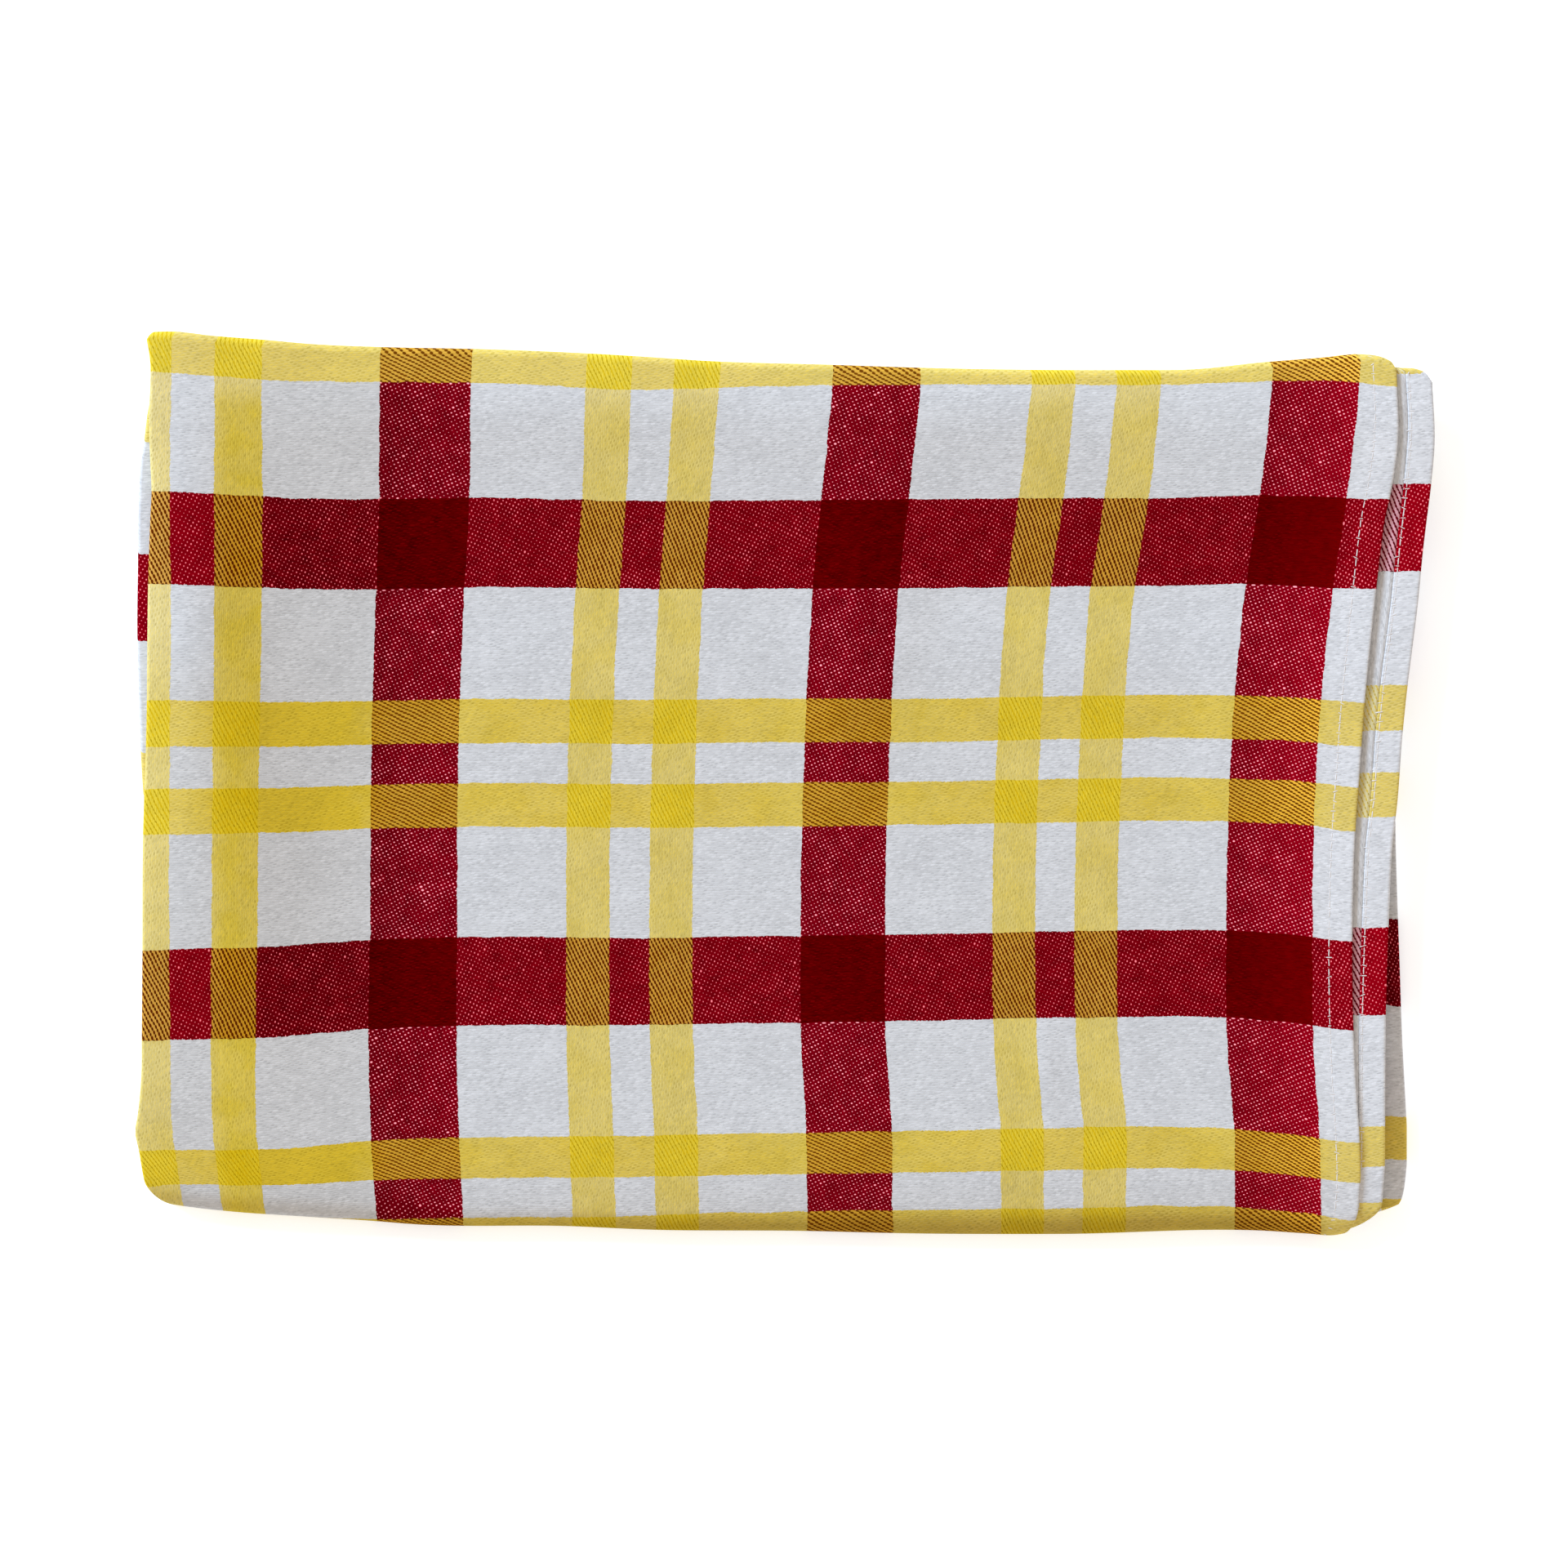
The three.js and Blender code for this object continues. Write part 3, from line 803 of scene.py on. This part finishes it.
# The two sets of yarn. Where the columns lie on top, the yarns along the photograph's height cover the others
# for four crossings of five; where the rows do, it is the other way round. Each entry is named for the yarn on
# top and the yarn that crosses it, which shows at the fifth crossing as a dot. It has the colour of the yarn on
# top, the colour of the dot, and the dot's half-length along and across the top yarn and its lean.
yarn = {
    "columns": {
        "white white": [(205, 207, 211), (201, 203, 208), (1.4, 0.42, -0.15)],
        "white red": [(214, 160, 172), (94, 0, 16), (1.15, 0.54, -0.45)],
        "white yellow": [(214, 206, 158), (200, 176, 84), (0.9, 0.42, -0.40)],
        "red white": [(120, 0, 16), (255, 168, 182), (0.27, 0.37, 0.0)],
        "red red": [(87, 0, 1), (100, 1, 3), (1.0, 0.30, 0.0)],
        "red yellow": [(108, 12, 2), (196, 136, 48), (0.4, 0.5, 0.0)],
        "yellow white": [(215, 197, 117), (207, 186, 99), (1.1, 0.42, -0.25)],
        "yellow red": [(203, 150, 57), (84, 30, 0), (1.22, 0.64, 0.22)],
        "yellow yellow": [(221, 196, 56), (192, 162, 20), (1.2, 0.48, 0.45)],
    },
    "rows": {                   # where these differ
        "red white": [(118, 0, 12), (238, 128, 140), (0.25, 0.34, 0.0)],
        "yellow white": [(216, 193, 94), (204, 179, 74), (1.2, 0.42, -0.20)],
        "yellow red": [(206, 157, 50), (104, 56, 4), (1.26, 0.56, 0.20)],
    },
    "redHalf": 26.0,            # threads from the middle of a red stripe to its edge
    "yellowInner": 92.0,        # and to the two edges of a yellow one
    "yellowOuter": 118.0,
    "wobble": 1.6,              # of the threads' lines, and its size
    "wobbleScale": 0.06,
    "edgeJitter": 0.45,
    "dotSoft": 0.28,
    "gapShade": 0.16,           # how much darker the hollow between two floats is, a painted shade
    "streaks": 0.13,            # how much the yarns differ from one another
    "clouds": 0.22,
    "speckle": 0.11,
    "mottle": 0.5,              # of the red, in small patches
    "strokes": 0.17,            # of a grain that rises to the right
    "flecks": 0.22,
    "hemPaintedLight": 0.50,          # how much brighter the coloured columns are at the hems, as painted light
    "hemRedHighlight": 0.26,             # and all the red, as painted light too
    "deepRed": 0.8,             # how much darker the red is on the lowest hem that shows, a painted shadow
    "foldShadeRed": 0.22,            # and beside the crosswise fold, a painted shade
    "foldRimHighlightRed": 0.46,        # and how much brighter past it at the fold's rim, a painted highlight
    "redGlow": 0.80,            # how much brighter the red is beside a dot
    "hemStretch": 0.10,         # how much larger the dots are at the hems, where the weave is pulled
    "gold": (0.94, 0.88, 0.34),         # what the yellow is times beside the crosswise fold, a deeper gold that is painted shade
    "patches": 0.35,                    # and how much of that lies in random patches elsewhere, the yarn's own tone, and on the lowest hem as painted shadow
    "deepGold": 0.9,
    "pale": (1.06, 1.10, 1.60),         # and at the fold itself, the hems and the far edge
    "foldShade": (0.92, 0.90, 0.87),     # and every colour in a band beside it, a painted shade
    "hemPaleAndHighlight": (1.09, 1.09, 1.10),      # and every colour at the hems, paler partly for the double cloth and partly as painted light
    "rimShade": (0.74, 0.70, 0.68),      # and at the near edge, darker as painted shade
    "bumpHeight": 0.00013,
    "bumpStrength": 0.45,
    "roughness": 0.86,
}

# Where the colours change with the place on the cloth: the way in which threads are counted, and the counts at
# which the change begins and is full. From the second red column the way goes across to the upper half's hem or
# back round the crosswise fold to the under half's; from the first red row it goes down or up. These changes
# match the photograph's own light, and stay in any other.
bands = {
    "besideUpperHem": ("across", 225, 290),
    "besideUnderHem": ("back", 1040, 1090),
    "upperHem": ("across", 278, 297),
    "underHem": ("back", 1078, 1097),
    "nearFold": ("back", 240, 300),
    "pastFold": ("back", 345, 385),
    "gold": ("back", 268, 306),
    "pastGold": ("back", 368, 386),
    "paleFold": ("back", 384, 396),
    "lower": ("down", 50, 100),
    "lowest": ("down", 325, 350),
    "rim": ("down", 398, 411),
    "pastRim": ("down", 440, 470),
    "farEdge": ("up", 70, 98),
}
deepHem = (-1070, -600)         # the lowest hem that shows, where shadow is painted, lies before these counts across and down


def fromRed(threads):
    # the signed count of threads from the middle of the nearest red stripe
    half = cloth["repeatThreads"] / 2
    return (threads + half).wrapped(2 * half) - half


def stripeKind(threads):
    # 0 in white, 1 in red and 2 in yellow, at the middle of a thread, and whether it is yellow
    away = abs(fromRed(threads))
    yellow = (away > yarn["yellowInner"]) * (away < yarn["yellowOuter"])
    return (away < yarn["redHalf"]) + yellow * 2, yellow


def yarnsHere(maker, u, v):
    # The column and the row of yarns at a point, their stripes, whose edges step in and out from thread to
    # thread, and whether the column lies on top on the right side
    def ownNumber(thread):
        return maker.node("ShaderNodeTexWhiteNoise", {"noise_dimensions": "1D"}, {"W": thread})

    column = (u + (ownNumber(v.floor() + 0.5) - 0.5) * yarn["edgeJitter"]).floor()
    row = (v + (ownNumber(u.floor() + 900.5) - 0.5) * yarn["edgeJitter"]).floor()
    columnKind, columnYellow = stripeKind(column + 0.5)
    rowKind, _ = stripeKind(row + 0.5)
    return column, row, columnKind, rowKind, columnKind + columnYellow * 0.5 > rowKind


def placesHere(u, v):
    # How far into each band a point is, from 0 to 1
    ways = {"across": u, "back": 0 - u, "down": v, "up": 0 - v}
    here = {name: ways[way].rising(low, high) for name, (way, low, high) in bands.items()}
    here["besideHem"] = here["besideUpperHem"] + here["besideUnderHem"]
    here["hem"] = here["upperHem"] + here["underHem"]
    # where the lowest hem's painted shadow lies
    here["deep"] = (u < deepHem[0]) * (v < deepHem[1])
    return here


def yarnGrain(maker, uv, u, v, along, thread, upright, topRed, lowKind):
    # How the yarns' brightness varies: from one to the next and slowly along each, in clouds and specks, in
    # patches of the red, in flecks along the yarns on top and, but for the red, in strokes rising to the right
    def flat(x, y):
        return maker.node("ShaderNodeCombineXYZ", {}, {0: x, 1: y})

    def uneven(place, scale, detail):
        return maker.noise(place, scale, detail, "2D") - 0.5

    streak = uneven(flat(thread * 0.73 + upright * 371.0, along * 0.012), 1.0, 1.0)
    fleck = uneven(flat(along * 0.16, (u + v - along) * 0.9 + upright * 77.0), 1.0, 2.0)
    stroke = uneven(flat(v * 0.85 + u * 0.14, (u - v * 0.16) * 0.15), 1.0, 2.0)
    grain = streak * yarn["streaks"] + uneven(uv, 0.035, 3.0) * yarn["clouds"]
    grain = grain + uneven(uv, 0.75, 1.0) * yarn["speckle"] + uneven(uv, 0.13, 2.0) * topRed * yarn["mottle"]
    grain = grain + stroke * (1 - topRed) * yarn["strokes"]
    return grain + fleck * (topRed * (lowKind * 2.5 + 2) + 1) * yarn["flecks"]


def placeTintAndPaintedLight(maker, uv, here, upright, topYellow):
    # What a colour is times for its place: paler at the hems, partly for the double cloth and partly as painted
    # light; darker beside the crosswise fold and at the near edge, as painted shade; yellow a deeper gold beside
    # the fold and on the lowest hem as painted shade, and in random patches; and yellow paler at the fold's rim,
    # the hems and the far edge
    patches = maker.noise(uv, 0.05, 3.0, "2D").rising(0.42, 0.66)
    goldPlaces = here["gold"] - here["pastGold"] + patches * yarn["patches"] + here["deep"] * yarn["deepGold"]
    gold = topYellow * (1 - upright * 0.25) * goldPlaces
    # painted shade in a band beside the crosswise fold
    fold = (here["nearFold"] - here["pastFold"] * (1 - here["lower"])) * (1 - topYellow)
    paleFold = here["paleFold"] * (0.85 - here["lower"] * 0.5 - here["lowest"] * 0.35)
    pale = topYellow * (1 - here["deep"]) * (here["hem"] + paleFold + here["farEdge"] * 0.8)
    tint = (1.0, 1.0, 1.0, 1.0)
    for amount, name in ((gold, "gold"), (fold, "foldShade"), (here["hem"], "hemPaleAndHighlight"),
                         (here["rim"] - here["pastRim"], "rimShade"), (pale, "pale")):
        tint = maker.blend(amount, tint, yarn[name] + (1.0,))
    return tint


def weaveMaterial():
    # A five-end satin check. Where a column outranks a row (yellow over red over white) its yarns lie on top,
    # and elsewhere those of the row; the other side of the cloth has it the other way round.
    maker = Maker("checkedCotton")
    uv = maker.node("ShaderNodeUVMap", {"uv_map": "threads"})
    drift = maker.noise(uv, yarn["wobbleScale"], 2.0, "2D", 1)
    drift = maker.vector("SUBTRACT", drift, (0.5, 0.5, 0.5))
    u, v, _ = maker.parts(maker.vector("ADD", uv, maker.tinted(drift, yarn["wobble"])))
    wrong = maker.node("ShaderNodeAttribute", {"attribute_name": "wrongSide"}, {}, 2) > 0.5
    column, row, columnKind, rowKind, frontUpright = yarnsHere(maker, u, v)
    upright = abs(frontUpright - wrong)
    topKind = rowKind + upright * (columnKind - rowKind)
    lowKind = columnKind + rowKind - topKind
    topRed, topYellow = abs(topKind - 1) < 0.5, topKind > 1.5
    here = placesHere(u, v)
    # one entry for each yarn over each other, the columns' before the rows'
    entry = (1 - upright) * 9 + topKind * 3 + lowKind
    names = ("white", "red", "yellow")
    kinds = [table[top + " " + low] for table in (yarn["columns"], {**yarn["columns"], **yarn["rows"]})
             for top in names for low in names]

    # the square lattice of the dots, mirrored where the rows' yarns lie on top on the right side
    mirror = frontUpright * 2 - 1
    a, b = u - 0.5, (v - 0.5) * mirror
    p, q = (a + b * 2) / 5, (a * 2 - b) / 5
    nearP, nearQ = (p + 0.5).floor(), (q + 0.5).floor()
    dp, dq = p - nearP, q - nearQ
    dx, dy = dp + dq * 2, (dp * 2 - dq) * mirror
    shapes = [(long, wide, lean + 0.5, 1.0) for _, _, (long, wide, lean) in kinds]
    halfAlong, halfAcross, lean = maker.parts(maker.pick(entry, shapes))
    offAlong = dx + upright * (dy - dx)
    offAcross = dx + dy - offAlong - offAlong * (lean - 0.5)
    own = maker.node("ShaderNodeTexWhiteNoise", {"noise_dimensions": "2D"}, {
        "Vector": maker.node("ShaderNodeCombineXYZ", {}, {0: nearP, 1: nearQ})})
    # red yarns' dots differ more, by patches, and a few are far larger
    patch = maker.noise(uv, 0.07, 2.0, "2D") - 0.5
    redSize = topRed * (patch + own * 0.2 - 0.1 + (own > 0.992) * 0.5) + 1
    size = (own * 0.3 + 0.83) * redSize * (here["besideHem"] * yarn["hemStretch"] + 1)

    # the first crossing yarn past a red stripe shows for longer
    beyond = fromRed((v - dy + (1 - upright) * (u - dx - v + dy)).floor() + 0.5)
    firstPast, firstBefore = (abs(beyond + side * (yarn["redHalf"] + 0.5)) < 0.6 for side in (-1, 1))
    dash = firstPast * (upright * 1.1 + 0.3) + firstBefore * 0.35 + 1
    distance = ((offAlong / halfAlong) ** 2 + (offAcross / (halfAcross * dash)) ** 2).root() / size
    dot = 1 - distance.rising(1 - yarn["dotSoft"], 1 + yarn["dotSoft"])

    # the floats: level across the thread, and sinking to either side of a dot
    fine = u - column + (1 - upright) * (v - row - u + column)
    along = u + upright * (v - u)
    thread = row + upright * (column - row)
    roundness = (1 - (abs(fine.wrapped(1.0) - 0.5) * 2) ** 2.5).clamped()

    grain = yarnGrain(maker, uv, u, v, along, thread, upright, topRed, lowKind)
    # painted shade: the hollow between two floats is darkened
    floatGapShade = (1 - roundness) * yarn["gapShade"] * (0.25 + topKind.math("MINIMUM", 1.0) * 0.75)
    glow = (1 - distance.rising(0.8, 2.4)) * topRed * (1 - lowKind.math("MINIMUM", 1.0)) * yarn["redGlow"]
    # painted light: the coloured columns beside the hems are made brighter
    hemPaintedLight = here["besideHem"] * (topKind > 0.5) * (columnKind > 0.5) * yarn["hemPaintedLight"]
    # painted light and shade on the red: lighter at the hems and past the crosswise fold, darker beside it and
    # on the lowest hem
    redPaintedLight = here["hem"] * yarn["hemRedHighlight"] + here["pastFold"] * yarn["foldRimHighlightRed"] - (
        here["nearFold"] * yarn["foldShadeRed"] + here["deep"] * yarn["deepRed"])
    shade = 1 + glow + grain - floatGapShade + hemPaintedLight + topRed * redPaintedLight
    tint = placeTintAndPaintedLight(maker, uv, here, upright, topYellow)
    floats, dots = (maker.pick(entry, [linear(*kind[place]) for kind in kinds]) for place in (0, 1))
    floats = maker.vector("MULTIPLY", maker.tinted(floats, shade), tint)
    dots = maker.vector("MULTIPLY", maker.tinted(dots, own * 0.4 + 0.8), tint)
    relief = roundness * (0.65 + distance.rising(0.8, 2.6) * 0.35) * (1 - dot) + dot * 0.8
    bump = maker.node("ShaderNodeBump", {}, {
        "Height": relief, "Strength": yarn["bumpStrength"], "Distance": yarn["bumpHeight"]})
    return maker.finish(maker.blend(dot, floats, dots), yarn["roughness"], bump, {"Specular IOR Level": 0.0})


def threadMaterial():
    # White sewing cotton: fine slanting plies from a wave on object coordinates
    maker = Maker("sewingCotton")
    place = maker.node("ShaderNodeTexCoord", {}, {}, 3)
    ply = maker.node("ShaderNodeTexWave", {"bands_direction": "DIAGONAL"}, {
        "Vector": place, "Scale": sewing["plyScale"], "Distortion": 1.0})
    darker, paler = (linear(*colour) for colour in sewing["colours"])
    colour = maker.blend(maker.noise(place, sewing["mottleScale"]), darker, paler)
    bump = maker.node("ShaderNodeBump", {}, {"Height": ply, "Strength": 0.3, "Distance": 0.0001})
    return maker.finish(colour, 0.8, bump, {"Sheen Weight": 0.1, "Specular IOR Level": 0.25})


folded.data.materials.append(weaveMaterial())
stitches.data.materials.append(threadMaterial())
print("materials: weave and sewing thread")

# The floor, the light and the camera
studio = {
    "floor": 0.95,
    "floorGlow": 0.50,
    "glowColour": (0.85, 0.93, 1.0),
    "floorSize": 6.0,
    "world": (1.0, 0.885, 0.765),       # warm light from all round
    "worldStrength": 0.70,
    "keyColour": (0.63, 0.785, 0.965),  # and cool light from the far left
    "keyTurn": (137.0, 23.0),           # its side and its height, in degrees
    "keyDistance": 2.0,                 # where the lamp stands, which doesn't change a sun's light
    "keySpread": 22.0,
    "keyStrength": 4.3,
}


def buildFloor():
    half = studio["floorSize"] / 2 / mm
    corners = np.array([[-half, -half, 0], [half, -half, 0], [half, half, 0], [-half, half, 0]], float)
    floor = newMesh("studio_floor", corners, np.array([[0, 1, 2, 3]]))
    maker = Maker("paleFloor")
    place = maker.node("ShaderNodeTexCoord", {}, {}, 3)
    grey = studio["floor"]
    darker = grey * 0.985
    colour = maker.blend(maker.noise(place, 3.0), (grey, grey, grey, 1), (darker, darker, grey, 1))
    maker.finish(colour, 0.9, maker.node("ShaderNodeBump", {}, {"Strength": 0.0}), {
        "Specular IOR Level": 0.0, "Emission Color": studio["glowColour"] + (1.0,),
        "Emission Strength": studio["floorGlow"]})
    floor.data.materials.append(maker.material)


def buildLights():
    world = bpy.data.worlds.new("studioWorld")
    bpy.context.scene.world = world
    world.use_nodes = True
    background = world.node_tree.nodes["Background"]
    background.inputs["Color"].default_value = studio["world"] + (1.0,)
    background.inputs["Strength"].default_value = studio["worldStrength"]
    lamp = bpy.data.lights.new("keyLight", "SUN")
    lamp.angle = math.radians(studio["keySpread"])
    lamp.energy = studio["keyStrength"]
    lamp.color = studio["keyColour"]
    key = bpy.data.objects.new("keyLight", lamp)
    side, height = (math.radians(angle) for angle in studio["keyTurn"])
    level = studio["keyDistance"] * math.cos(height)
    key.location = (level * math.cos(side), level * math.sin(side), studio["keyDistance"] * math.sin(height))
    key.rotation_euler = (0, math.pi / 2 - height, side)
    bpy.context.scene.collection.objects.link(key)


def buildCamera():
    # straight above the middle of the picture, with a lens that gives the photograph's scale at the top layer
    data = bpy.data.cameras.new("camera")
    camera = bpy.data.objects.new("camera", data)
    top = levelHeight(3) + cloth["pairHalf"]
    seen = view["pixels"] / view["pixelsPerMm"]
    data.sensor_width = view["sensor"]
    data.lens = view["sensor"] * view["distance"] / seen
    data.clip_start, data.clip_end = 0.1, 20.0
    camera.location = (-packetCentre[0] * mm, -packetCentre[1] * mm, (top + view["distance"]) * mm)
    bpy.context.scene.collection.objects.link(camera)
    bpy.context.scene.camera = camera


buildFloor()
buildLights()
buildCamera()
bpy.context.scene.view_settings.view_transform = "Standard"
print("floor, light and camera placed")

for piece in (folded, stitches):
    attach(piece, "root")
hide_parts("tablecloth")
